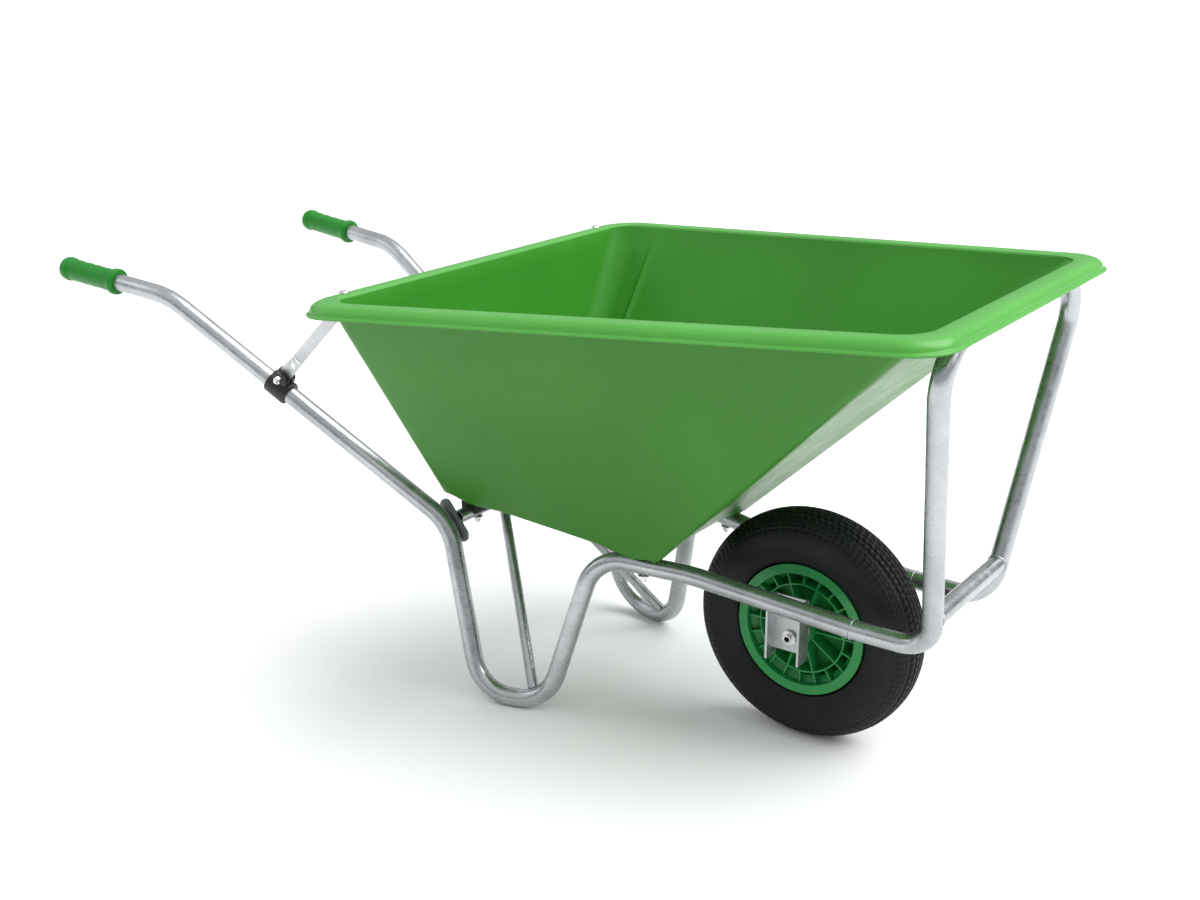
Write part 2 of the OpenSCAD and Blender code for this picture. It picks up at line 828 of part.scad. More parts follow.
// Tyre: a round casing with a flatter tread band, open on the rim side
module tyre() {
    tread_half = 34;
    color(black) placed() on_axle() difference() {
        union() {
            rotate_extrude($fn = 120) translate([tyre_ring_r, 0])
                circle(r = tyre_round_r, $fn = 64);
            rotate_extrude($fn = 120) polygon([
                [tyre_ring_r, -tread_half - 9], [tyre_d / 2 - 12, -tread_half],
                [tyre_d / 2 - 2.5, -tread_half + 8], [tyre_d / 2, -tread_half + 20],
                [tyre_d / 2, tread_half - 20], [tyre_d / 2 - 2.5, tread_half - 8],
                [tyre_d / 2 - 12, tread_half], [tyre_ring_r, tread_half + 9]
            ]);
        }
        rotate_extrude($fn = 120) translate([tyre_ring_r, 0])
            circle(r = tyre_round_r - tyre_wall, $fn = 64);
        cylinder(r = bead_r + slack, h = 200, center = true, $fn = 96);
        rotate_extrude($fn = 96) polygon([
            [bead_r, -22], [tyre_ring_r - 30, -22], [tyre_ring_r - 30, 22], [bead_r, 22]
        ]);
        for (end = [0, 1]) mirror([0, 0, end]) translate([0, 0, rim_w / 2 - rim_thick - 2.5])
            cylinder(r = rim_d / 2 + slack, h = 30, $fn = 96);
    }
}

module inner_tube() {
    color([0.2, 0.2, 0.2]) placed() on_axle() difference() {
        rotate_extrude($fn = 96) translate([tyre_ring_r, 0]) difference() {
            circle(r = inner_tube_r, $fn = 64);
            circle(r = inner_tube_r - 2, $fn = 64);
        }
        valve_place() translate([barrel_r, 0, valve_base_z]) rotate([0, 90, 0])
            cylinder(r = valve_bore_r, h = 30, $fn = 24);
    }
}

// The valve leaves the barrel between two ribs and bends towards the side of the wheel
valve_angle = 9;
valve_r = 3.6;
valve_bore_r = 1.2;
valve_base_z = 9;
valve_tip_z = 44;
valve_run_r = 84.4;
inner_tube_r = tyre_round_r - tyre_wall - 0.6;
valve_base_r = tyre_ring_r - sqrt(pow(inner_tube_r, 2) - pow(valve_base_z, 2)) - 0.6;

module valve_place() {
    rotate(valve_angle) children();
}

module valve_stem() {
    path = [
        [valve_base_r, 0, valve_base_z],
        [valve_run_r, 0, valve_base_z],
        [valve_run_r, 0, valve_tip_z]
    ];
    color("gold") placed() on_axle() valve_place() bent_pipe(path, [6], valve_r, valve_bore_r);
}

module valve_cap() {
    wall = 1.4;
    length = 11;
    color(green) placed() on_axle() valve_place()
        translate([valve_run_r, 0, valve_tip_z + wall + 0.1 - length]) difference() {
            cylinder(r = valve_r + 0.1 + wall, h = length, $fn = 32);
            translate([0, 0, -1]) cylinder(r = valve_r + 0.1, h = length + 1 - wall, $fn = 32);
        }
}

// ---- nodes ---------------------------------------------------------------

left_side_tube();
right_side_tube();
front_hoop();
nose_cross_tube();
rear_cross_tube();
left_rear_bracket();
right_rear_bracket();
left_leg_brace();
right_leg_brace();
left_axle_bracket();
right_axle_bracket();
left_grip();
right_grip();
tub();
rear_buffers();
floor_bolts();
floor_washers();
floor_nuts();
left_strap();
right_strap();
left_clamp_upper();
left_clamp_lower();
right_clamp_upper();
right_clamp_lower();
clamp_bolts();
clamp_nuts();
strap_bolts();
strap_nuts();
axle();
axle_nuts();
axle_washers();
axle_spacers();
wheel_bearings();
wheel_rim();
tyre();
inner_tube();
valve_stem();
valve_cap();
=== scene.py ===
"""Looks of the single-wheel barrow: moulded tub, bent galvanised frame, pneumatic wheel."""
import json
import math

import bmesh
import bpy
from mathutils import Matrix, Vector


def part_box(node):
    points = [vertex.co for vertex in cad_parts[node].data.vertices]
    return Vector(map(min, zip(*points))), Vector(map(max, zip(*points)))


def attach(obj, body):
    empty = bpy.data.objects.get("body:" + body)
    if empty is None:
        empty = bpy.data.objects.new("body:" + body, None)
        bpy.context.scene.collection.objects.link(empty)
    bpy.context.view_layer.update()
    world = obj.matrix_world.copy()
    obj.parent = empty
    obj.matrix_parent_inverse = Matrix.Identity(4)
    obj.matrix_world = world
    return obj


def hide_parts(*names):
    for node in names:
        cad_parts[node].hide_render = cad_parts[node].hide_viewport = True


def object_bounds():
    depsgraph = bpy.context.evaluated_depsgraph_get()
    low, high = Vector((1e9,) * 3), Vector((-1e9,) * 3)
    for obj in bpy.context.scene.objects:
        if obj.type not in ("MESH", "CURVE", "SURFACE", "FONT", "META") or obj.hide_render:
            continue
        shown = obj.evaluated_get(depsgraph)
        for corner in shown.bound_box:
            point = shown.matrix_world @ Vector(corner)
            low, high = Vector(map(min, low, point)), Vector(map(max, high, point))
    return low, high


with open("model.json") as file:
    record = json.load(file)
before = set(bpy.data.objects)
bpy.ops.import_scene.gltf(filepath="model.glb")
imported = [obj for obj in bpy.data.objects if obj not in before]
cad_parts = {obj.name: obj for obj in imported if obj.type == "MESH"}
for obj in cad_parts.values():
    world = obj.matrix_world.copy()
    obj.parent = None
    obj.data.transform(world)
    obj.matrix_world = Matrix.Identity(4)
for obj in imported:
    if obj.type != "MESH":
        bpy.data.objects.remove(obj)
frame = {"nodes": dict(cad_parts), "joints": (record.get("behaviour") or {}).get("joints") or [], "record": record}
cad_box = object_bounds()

MM = 0.001
AXLE = Vector(frame["joints"][0]["pos_m"])
UP = Vector((0, 0, 1))
LEFT = Vector((0, 1, 0))
# vertices nearer than this, in metres, are one
SAME_PLACE = 1e-6


def at(x, y, z):
    """A point in millimetres, x counted from the axle, as a point in the frame."""
    return Vector((AXLE.x + x * MM, y * MM, z * MM))


def mirrored(p):
    return Vector((p.x, -p.y, p.z))


# ---- places the looks share with the design (mm, x from the axle, left side) ---------------

HANDLE_END = at(-1458, 323, 685)
WRIST = at(-1195, 303, 660)
HIP = at(-617, 200, 303)
RAIL_FRONT = at(131, 117, 266.5)
HOOP_FOOT = at(261, 113, 264)
HOOP_TOP = at(307.5, 281, 783.5)
NOSE_CROSS_Z = 325 * MM


# ---- mesh helpers --------------------------------------------------------------------------

def mesh_object(name, verts, faces, sharp_deg=35.0):
    """A smooth-shaded mesh object, with edges steeper than sharp_deg left sharp."""
    bm = bmesh.new()
    bm_verts = [bm.verts.new(v) for v in verts]
    for face in faces:
        bm.faces.new([bm_verts[i] for i in face])
    bmesh.ops.remove_doubles(bm, verts=bm.verts, dist=SAME_PLACE)
    bmesh.ops.dissolve_degenerate(bm, edges=bm.edges, dist=SAME_PLACE)
    bmesh.ops.recalc_face_normals(bm, faces=bm.faces)
    mesh = bpy.data.meshes.new(name)
    bm.to_mesh(mesh)
    bm.free()
    mesh.polygons.foreach_set("use_smooth", [True] * len(mesh.polygons))
    mesh.set_sharp_from_angle(angle=math.radians(sharp_deg))
    obj = bpy.data.objects.new(name, mesh)
    bpy.context.scene.collection.objects.link(obj)
    return obj


class Builder:
    """Collects vertices and faces of several closed shapes for one object."""

    def __init__(self):
        self.verts, self.faces = [], []

    def add(self, verts, faces):
        base = len(self.verts)
        self.verts += verts
        self.faces += [[base + i for i in face] for face in faces]

    def loft(self, loops, closed=False):
        """Skin through loops of equal length: closed joins the last loop to the first.

        Otherwise the first and the last loop are capped."""
        n = len(loops[0])
        verts = [p for loop in loops for p in loop]
        faces = []
        last = len(loops) if closed else len(loops) - 1
        for i in range(last):
            a, b = i * n, (i + 1) % len(loops) * n
            for k in range(n):
                faces.append([a + k, a + (k + 1) % n, b + (k + 1) % n, b + k])
        if not closed:
            faces.append(list(range(n))[::-1])
            faces.append([(len(loops) - 1) * n + k for k in range(n)])
        self.add(verts, faces)

    def mirror(self):
        """Moves everything collected so far to the other side of the barrow."""
        self.verts = [mirrored(p) for p in self.verts]

    def make(self, name, sharp_deg):
        return mesh_object(name, self.verts, self.faces, sharp_deg)


def side_axes(direction):
    """Two unit vectors square to direction and to each other."""
    d = direction.normalized()
    u = d.cross(UP if abs(d.z) < 0.9 else Vector((1, 0, 0))).normalized()
    return u, u.cross(d).normalized()


def sweep(path, section):
    """Loops along a closed path of points: section(i) gives that loop's 2-D points."""
    n = len(path)
    loops = []
    u = None
    for i, p in enumerate(path):
        d = (path[(i + 1) % n] - path[i - 1]).normalized()
        if u is None:
            u, _ = side_axes(d)
        u = (u - d * u.dot(d)).normalized()
        v = d.cross(u)
        loops.append([p + u * a + v * b for a, b in section(i)])
    return loops


def circle_points(r, sides):
    step = 2 * math.pi / sides
    return [(r * math.cos(k * step), r * math.sin(k * step)) for k in range(sides)]


def smooth_step(t):
    t = min(1.0, max(0.0, t))
    return t * t * (3 - 2 * t)


def wave_noise(x, seed):
    """Smooth value from -1 to 1 that wanders with x, the same on every run."""
    slow = math.sin(x * 1.7 + seed)
    middling = math.sin(x * 3.1 + seed * 2.3)
    quick = math.sin(x * 5.3 + seed * 4.1)
    return (slow + middling + quick) / 3


# ---- materials -----------------------------------------------------------------------------

# Texture scales are in repeats per metre, bump distances in metres.

def new_material(name):
    mat = bpy.data.materials.new(name)
    mat.use_nodes = True
    nodes = mat.node_tree.nodes
    bsdf = next(n for n in nodes if n.type == "BSDF_PRINCIPLED")
    coords = nodes.new("ShaderNodeTexCoord")
    return mat, bsdf, coords.outputs["Object"]


def link(mat, a, b):
    mat.node_tree.links.new(a, b)


def noise(mat, vector, scale, detail=3.0, rough=0.55, stretch=None):
    """Fac output of a noise texture; stretch scales the three axes."""
    nodes = mat.node_tree.nodes
    if stretch:
        mapping = nodes.new("ShaderNodeMapping")
        mapping.inputs["Scale"].default_value = stretch
        link(mat, vector, mapping.inputs["Vector"])
        vector = mapping.outputs["Vector"]
    tex = nodes.new("ShaderNodeTexNoise")
    tex.inputs["Scale"].default_value = scale
    tex.inputs["Detail"].default_value = detail
    tex.inputs["Roughness"].default_value = rough
    link(mat, vector, tex.inputs["Vector"])
    return tex.outputs["Fac"]


def voronoi(mat, vector, scale):
    tex = mat.node_tree.nodes.new("ShaderNodeTexVoronoi")
    tex.inputs["Scale"].default_value = scale
    link(mat, vector, tex.inputs["Vector"])
    return tex.outputs["Color"]


def ramp(mat, fac, stops):
    """Colour ramp; stops are (position, colour) pairs."""
    node = mat.node_tree.nodes.new("ShaderNodeValToRGB")
    elements = node.color_ramp.elements
    while len(elements) < len(stops):
        elements.new(0.5)
    for element, (pos, colour) in zip(elements, stops):
        element.position = pos
        element.color = (*colour, 1.0)
    link(mat, fac, node.inputs["Fac"])
    return node.outputs["Color"]


def spread(mat, fac, low, high, from_low=0.0, from_high=1.0):
    """Maps fac to the range low to high."""
    node = mat.node_tree.nodes.new("ShaderNodeMapRange")
    node.inputs["From Min"].default_value = from_low
    node.inputs["From Max"].default_value = from_high
    node.inputs["To Min"].default_value = low
    node.inputs["To Max"].default_value = high
    link(mat, fac, node.inputs["Value"])
    return node.outputs["Result"]


def math_node(mat, operation, a, b):
    node = mat.node_tree.nodes.new("ShaderNodeMath")
    node.operation = operation
    for slot, value in zip(node.inputs, (a, b)):
        if isinstance(value, (int, float)):
            slot.default_value = value
        else:
            link(mat, value, slot)
    return node.outputs["Value"]


# a colour Mix node's factor, its two colours and its result, among its many sockets
MIX_FACTOR, MIX_A, MIX_B, MIX_RESULT = 0, 6, 7, 2


def mix_colour(mat, fac, a, b, blend="MIX"):
    node = mat.node_tree.nodes.new("ShaderNodeMix")
    node.data_type = "RGBA"
    node.blend_type = blend
    node.inputs[MIX_FACTOR].default_value = fac
    link(mat, a, node.inputs[MIX_A])
    link(mat, b, node.inputs[MIX_B])
    return node.outputs[MIX_RESULT]


def bump(mat, bsdf, height, distance, strength, below=None):
    """Bump on the shader's normal; below is the normal of a bump under this one."""
    node = mat.node_tree.nodes.new("ShaderNodeBump")
    node.inputs["Distance"].default_value = distance
    node.inputs["Strength"].default_value = strength
    link(mat, height, node.inputs["Height"])
    if below:
        link(mat, below, node.inputs["Normal"])
    link(mat, node.outputs["Normal"], bsdf.inputs["Normal"])
    return node.outputs["Normal"]


def galvanised(name, light, dark, rough):
    """Zinc-coated steel: crystal spangle, dull streaks and small dross marks."""
    mat, bsdf, co = new_material(name)
    spangle = voronoi(mat, co, 95.0)
    cloud = noise(mat, co, 9.0, 5.0, 0.6)
    streak = noise(mat, co, 60.0, 4.0, 0.6, (0.25, 1.0, 1.0))
    base = ramp(mat, cloud, [(0.32, dark), (0.68, light)])
    cells = spread(mat, spangle, 0.90, 1.06)
    shaded = mix_colour(mat, 0.55, base, mix_colour(mat, 1.0, base, cells, "MULTIPLY"))
    dross = noise(mat, co, 210.0, 2.0, 0.5)
    specks = ramp(mat, dross, [(0.28, (0.72, 0.74, 0.75)), (0.36, (1, 1, 1))])
    link(mat, mix_colour(mat, 0.4, shaded, specks, "MULTIPLY"), bsdf.inputs["Base Color"])
    mixed = math_node(mat, "ADD", streak, math_node(mat, "MULTIPLY", spangle, 0.25))
    link(mat, spread(mat, mixed, rough - 0.10, rough + 0.14, 0.3, 0.9), bsdf.inputs["Roughness"])
    bsdf.inputs["Metallic"].default_value = 0.92
    first = bump(mat, bsdf, streak, 0.12 * MM, 0.25)
    bump(mat, bsdf, noise(mat, co, 420.0, 3.0), 0.04 * MM, 0.25, first)
    return mat


def moulded(name, light, dark, rough, grain, specular=0.45):
    """Moulded plastic: slow colour drift, fine grain, faint scuffs."""
    mat, bsdf, co = new_material(name)
    drift = noise(mat, co, 3.5, 4.0, 0.5)
    link(mat, ramp(mat, drift, [(0.30, dark), (0.70, light)]), bsdf.inputs["Base Color"])
    scuff = noise(mat, co, 28.0, 6.0, 0.65, (1.0, 0.35, 1.0))
    link(mat, spread(mat, scuff, rough - 0.06, rough + 0.10, 0.25, 0.75), bsdf.inputs["Roughness"])
    bsdf.inputs["Specular IOR Level"].default_value = specular
    bump(mat, bsdf, noise(mat, co, grain, 2.0, 0.5), 0.06 * MM, 0.5)
    return mat


def rubber(name, colour, dusty, rough):
    """Black rubber with a dusty bloom in patches."""
    mat, bsdf, co = new_material(name)
    bloom = noise(mat, co, 14.0, 6.0, 0.6)
    link(mat, ramp(mat, bloom, [(0.35, colour), (0.75, dusty)]), bsdf.inputs["Base Color"])
    fine = noise(mat, co, 260.0, 3.0, 0.6)
    link(mat, spread(mat, fine, rough - 0.08, rough + 0.08, 0.3, 0.7), bsdf.inputs["Roughness"])
    bsdf.inputs["Specular IOR Level"].default_value = 0.22
    bump(mat, bsdf, fine, 0.1 * MM, 0.4)
    return mat


def plated(name, light, dark, rough):
    """Bright zinc or brass plating with fine turning marks."""
    mat, bsdf, co = new_material(name)
    stain = noise(mat, co, 45.0, 4.0)
    link(mat, ramp(mat, stain, [(0.35, dark), (0.65, light)]), bsdf.inputs["Base Color"])
    marks = noise(mat, co, 300.0, 2.0)
    link(mat, spread(mat, marks, rough - 0.06, rough + 0.08), bsdf.inputs["Roughness"])
    bsdf.inputs["Metallic"].default_value = 1.0
    bump(mat, bsdf, noise(mat, co, 500.0, 2.0), 0.04 * MM, 0.4)
    return mat


# name, light and dark colour, roughness; for moulded plastic the grain's scale too
MATERIALS = {
    "galvanised_tube": galvanised(
        "galvanised tube", (0.52, 0.535, 0.55), (0.36, 0.375, 0.39), 0.27),
    "galvanised_plate": galvanised(
        "galvanised plate", (0.56, 0.57, 0.58), (0.42, 0.43, 0.44), 0.36),
    "zinc_fasteners": plated(
        "zinc fasteners", (0.78, 0.78, 0.77), (0.55, 0.55, 0.54), 0.27),
    # the tub is one plastic in three shades: painted shade outside, painted light inside and on the rim
    "tub_plastic": moulded(
        "tub plastic", (0.038, 0.198, 0.013), (0.030, 0.170, 0.010), 0.36, 900.0, specular=0.34),
    # a lighter copy of the tub plastic: painted light on the inside walls
    "tub_inside_painted_light": moulded(
        "tub inside painted light", (0.052, 0.285, 0.027), (0.040, 0.245, 0.020), 0.40, 900.0, specular=0.22),
    # a still lighter copy of the tub plastic: painted light on the rim's top
    "tub_rim_painted_light": moulded(
        "tub rim painted light", (0.080, 0.370, 0.048), (0.066, 0.325, 0.038), 0.32, 900.0, specular=0.50),
    "rim_plastic": moulded(
        "rim plastic", (0.015, 0.260, 0.058), (0.010, 0.205, 0.045), 0.36, 700.0),
    "grip_plastic": moulded(
        "grip plastic", (0.007, 0.210, 0.014), (0.004, 0.165, 0.009), 0.33, 500.0, specular=0.30),
    "clamp_plastic": moulded(
        "clamp plastic", (0.012, 0.012, 0.013), (0.007, 0.007, 0.008), 0.42, 900.0),
    "spacer_plastic": moulded(
        "spacer plastic", (0.020, 0.020, 0.021), (0.012, 0.012, 0.013), 0.45, 800.0),
    "bush_plastic": moulded(
        "bush plastic", (0.66, 0.66, 0.62), (0.55, 0.55, 0.51), 0.40, 800.0),
    "buffer_rubber": rubber(
        "buffer rubber", (0.010, 0.010, 0.010), (0.024, 0.024, 0.024), 0.60),
    "tyre_rubber": rubber(
        "tyre rubber", (0.0045, 0.0048, 0.0052), (0.0095, 0.0100, 0.0106), 0.50),
    "tube_rubber": rubber(
        "tube rubber", (0.015, 0.015, 0.015), (0.025, 0.025, 0.025), 0.55),
    "valve_brass": plated(
        "valve brass", (0.80, 0.62, 0.30), (0.60, 0.45, 0.20), 0.28),
}
SLOT_OF = {row["node"]: row["material_slot"] for row in frame["record"]["subparts"]}


def dress(piece, slot, body="frame"):
    """Gives a new piece its material, its slot and the body it rides on."""
    piece.data.materials.clear()
    piece.data.materials.append(MATERIALS[slot])
    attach(piece, body)


def dress_cad_nodes():
    for name, obj in frame["nodes"].items():
        obj.data.materials.clear()
        obj.data.materials.append(MATERIALS[SLOT_OF[name]])


# ---- tub -----------------------------------------------------------------------------------

TUB_WALL = 4.5 * MM
FLOOR_ROUND = 32 * MM
MOUTH_ROUND = 50 * MM
# outside, the upright edges of the moulding are sharper than inside
FLOOR_EDGE_ROUND = 16 * MM
MOUTH_EDGE_ROUND = 20 * MM
BEAD_ROUND = 65 * MM
RIM_HEIGHT = 22 * MM
SKIRT = 20 * MM
# radius of the skirt's lower edge, in mm
SKIRT_BEND = 2.2
# the skirt's share of its depth at the corners, and the share of a side it deepens over
SKIRT_AT_CORNER, SKIRT_FADE = 0.25, 0.12
# the share of a side over which the sharp outer corner opens to the floor's own round
EDGE_FADE = 0.3
RIDGE_OUT = 6 * MM
ARC_STEPS = 10
# the mouth and the bead in the rim's plane: x from the rim's rear edge, and half widths
MOUTH_REAR, MOUTH_FRONT = 40 * MM, 1014 * MM
MOUTH_REAR_HALF, MOUTH_FRONT_HALF = 420 * MM, 318 * MM
BEAD_REAR_HALF, BEAD_FRONT_HALF = 460 * MM, 357 * MM
# the rim rises this much for each length forward
RIM_RISE = 67 / 1053
# heights over the rim's plane: where the two skins end, and where the rim's painted light starts
OUTER_TOP, INNER_TOP, PAINTED_RIM_LIGHT_FROM = 15 * MM, 17 * MM, 1 * MM
# places of the three shades in the tub's list of materials: painted shade outside, painted light inside and on the
# rim
OUTSIDE_PAINTED_SHADE, INSIDE_PAINTED_LIGHT, RIM_PAINTED_LIGHT = 0, 1, 2
# the wall ridge stands this share of a wall's length from the rear corner
RIDGE_AT, RIDGE_HALF = 0.052, 0.012
NEAR_END = [0.02, 0.034, 0.04, 0.046, 0.052, 0.058, 0.064, 0.07]
SIDE_SHARES = NEAR_END + [0.1 + 0.8 * k / 10 for k in range(11)] + [1 - f for f in NEAR_END[::-1]]
# corner centres, right rear first and then anticlockwise seen from above
FLOOR_CENTRES = [at(-620, -155, 379), at(-237, -128, 339), at(-237, 128, 339), at(-620, 155, 379)]


def tub_frame():
    """Origin, x and z directions and length of the rim's tilted plane, from the tub's box."""
    low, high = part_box("tub")
    x_dir = Vector((1, 0, RIM_RISE)).normalized()
    z_dir = Vector((-RIM_RISE, 0, 1)).normalized()
    run = (high.x - low.x) / x_dir.x
    origin = Vector((low.x, 0, high.z))
    origin.z = high.z - run * x_dir.z - RIM_HEIGHT * z_dir.z
    return origin, x_dir, z_dir, run


RIM_ORIGIN, RIM_X, RIM_Z, RIM_RUN = tub_frame()


def flat(x, y):
    return Vector((x, y, 0))


def side_normals(centres):
    """Outward normal of each straight side between neighbouring corner circles."""
    normals = []
    for i, centre in enumerate(centres):
        d = (centres[(i + 1) % len(centres)] - centre).normalized()
        normals.append(flat(d.y, -d.x).normalized())
    return normals


def corner_loop(centres, radius):
    """Anticlockwise loop round four corner circles, and the outward normal at each point.

    The number of points is the same at any radius."""
    count = len(centres)
    normals = side_normals(centres)
    loop, outwards = [], []
    for i in range(count):
        start = math.atan2(normals[i - 1].y, normals[i - 1].x)
        stop = math.atan2(normals[i].y, normals[i].x)
        if stop < start:
            stop += 2 * math.pi
        for k in range(ARC_STEPS + 1):
            a = start + (stop - start) * k / ARC_STEPS
            n = flat(math.cos(a), math.sin(a))
            loop.append(centres[i] + n * radius)
            outwards.append(n)
        p, q = loop[-1], centres[(i + 1) % count] + normals[i] * radius
        for share in SIDE_SHARES:
            loop.append(p.lerp(q, share))
            outwards.append(normals[i])
    return loop, outwards


def rim_loop(rear, front, rear_half, front_half, radius, inset=0.0):
    """Outline in the rim's plane, as (x, y, 0) from its rear edge."""
    centres = [
        flat(rear + radius, -rear_half + radius),
        flat(front - radius, -front_half + radius),
        flat(front - radius, front_half - radius),
        flat(rear + radius, rear_half - radius),
    ]
    return corner_loop(centres, radius - inset)[0]


def in_rim_plane(p, height):
    return RIM_ORIGIN + RIM_X * p.x + RIM_Z * height + Vector((0, p.y, 0))


def mouth(inset, radius=MOUTH_ROUND):
    return rim_loop(MOUTH_REAR, MOUTH_FRONT, MOUTH_REAR_HALF, MOUTH_FRONT_HALF, radius, inset)


def sharper_centres(radius):
    """Centres of smaller corner circles that touch the same four floor edges."""
    normals = side_normals(FLOOR_CENTRES)
    moved = []
    for i, c in enumerate(FLOOR_CENTRES):
        both = normals[i - 1] + normals[i]
        moved.append(c + both * (FLOOR_ROUND - radius) / (1 + normals[i - 1].dot(normals[i])))
    return moved


def floor_bottom_z(x):
    rear, front = FLOOR_CENTRES[0], FLOOR_CENTRES[1]
    return rear.z - FLOOR_ROUND + (front.z - rear.z) * (x - rear.x) / (front.x - rear.x)


def outer_edge():
    """Fillet centre, outward normal, fillet radius and skirt for each point of the floor's edge."""
    centres, normals = corner_loop(sharper_centres(FLOOR_EDGE_ROUND), 0.0)
    found = []
    for i, (c, n) in enumerate(zip(centres, normals)):
        step = i % (ARC_STEPS + 1 + len(SIDE_SHARES)) - (ARC_STEPS + 1)
        share = 0.0 if step < 0 else SIDE_SHARES[step]
        from_corner = min(share, 1 - share)
        opened = smooth_step(from_corner / EDGE_FADE)
        r = FLOOR_EDGE_ROUND + (FLOOR_ROUND - FLOOR_EDGE_ROUND) * opened
        c = c - n * (r - FLOOR_EDGE_ROUND)
        grown = smooth_step(from_corner / SKIRT_FADE)
        deep = SKIRT * (SKIRT_AT_CORNER + (1 - SKIRT_AT_CORNER) * grown)
        found.append((Vector((c.x, c.y, floor_bottom_z(c.x) + r)), n, r, deep))
    return found


def bead():
    return rim_loop(0, RIM_RUN, BEAD_REAR_HALF, BEAD_FRONT_HALF, BEAD_ROUND)


def ridge_shares():
    """For each point of a loop, how much of the upright ridge of the side walls it carries."""
    shares = []
    for side in range(len(FLOOR_CENTRES)):
        shares += [0.0] * (ARC_STEPS + 1)
        for f in SIDE_SHARES:
            from_rear = f if side == 0 else 1 - f
            near = 1 - abs(from_rear - RIDGE_AT) / RIDGE_HALF
            shares.append(smooth_step(near) if side in (0, 2) else 0.0)
    return shares


def skirt_points(foot, normal, lean, deep):
    """Points down the outside of the skirt, round its edge and back up to the tub."""
    down = (-normal * math.cos(lean) - UP * math.sin(lean)).normalized()
    back = flat(-normal.x, -normal.y)
    reach = deep / abs(down.z)
    points = [foot + down * reach * k / 3 for k in range(3)]
    low = foot + down * reach
    for k in range(4):
        a = math.pi / 3 * k
        turn = down * math.sin(a) * SKIRT_BEND * MM + back * (1 - math.cos(a)) * SKIRT_BEND * MM
        points.append(low - down * SKIRT_BEND * MM + turn)
    points.append(foot + back * 6 * MM + down * 4 * MM)
    return points


def body_sections(inset, top_height):
    """Loops from the floor's edge up the wall to the mouth, top_height up in the rim's plane.

    No inset gives the outer skin, with its skirt; an inset gives the inner skin, with the
    upright ridge."""
    if inset:
        centres, outwards = corner_loop(FLOOR_CENTRES, 0.0)
        edge = [(c, n, FLOOR_ROUND - inset, 0) for c, n in zip(centres, outwards)]
        tops = [in_rim_plane(p, top_height) for p in mouth(inset)]
    else:
        edge = outer_edge()
        tops = [in_rim_plane(p, top_height) for p in mouth(0.0, MOUTH_EDGE_ROUND)]
    ridges = ridge_shares()
    arc_steps, wall_steps = 8, 12
    loops = [[] for _ in range(arc_steps + 1 + wall_steps)]
    for (c, normal, r, deep), m, ridge in zip(edge, tops, ridges):
        # the wall's slope in the upright plane square to the floor's edge
        out = (m - c).dot(normal)
        far = math.hypot(out, m.z - c.z)
        lean = math.atan2(m.z - c.z, out) + math.asin(r / far)
        for k in range(arc_steps + 1):
            # from straight down to square with the wall
            a = -math.pi / 2 + lean * k / arc_steps
            loops[k].append(c + normal * r * math.cos(a) + UP * r * math.sin(a))
        foot = loops[arc_steps][-1]
        if inset == 0:
            # the side walls run on down past the floor as a rounded skirt; the ends have none
            share = smooth_step((abs(normal.y) - 0.45) / 0.4)
            skirt = skirt_points(foot, normal, lean, deep)
            for k in range(1, arc_steps + 1):
                loops[k][-1] = loops[k][-1].lerp(skirt[arc_steps - k], share)
        for k in range(1, wall_steps + 1):
            p = foot.lerp(m, k / wall_steps)
            fade = smooth_step(k / 2) * smooth_step((wall_steps - k) / 2)
            loops[arc_steps + k].append(p - normal * ridge * fade * RIDGE_OUT if inset else p)
    return loops


def rim_profile():
    """The rolled rim from under the plate, round the bead, to the inner edge of the top.

    Each point is (share of the way from the wall to the bead's edge, height)."""
    points = [(0.02, 16.4), (0.07, 17.7), (0.16, 18.0), (0.42, 18.0)]
    for k in range(1, 6):
        a = math.pi / 2 * (1 - k / 6)
        points.append((0.42 + 0.36 * math.cos(a), 5 + 13 * math.sin(a)))
    points += [(0.78, 1.0), (0.80, 0.2), (0.84, 0.0), (0.96, 0.0), (0.99, 0.5), (1.0, 1.4)]
    points += [(1.0, 3.0), (0.985, 4.0), (0.95, 4.7), (0.905, 5.2), (0.885, 6.2)]
    for k in range(9):
        a = math.pi / 2 * k / 8
        points.append((0.42 + 0.46 * math.cos(a), 7.5 + 14.5 * math.sin(a)))
    points += [(0.36, 22.15), (0.22, 22.1), (0.08, 21.8), (-0.03, 21.0), (-0.09, 19.4)]
    return points


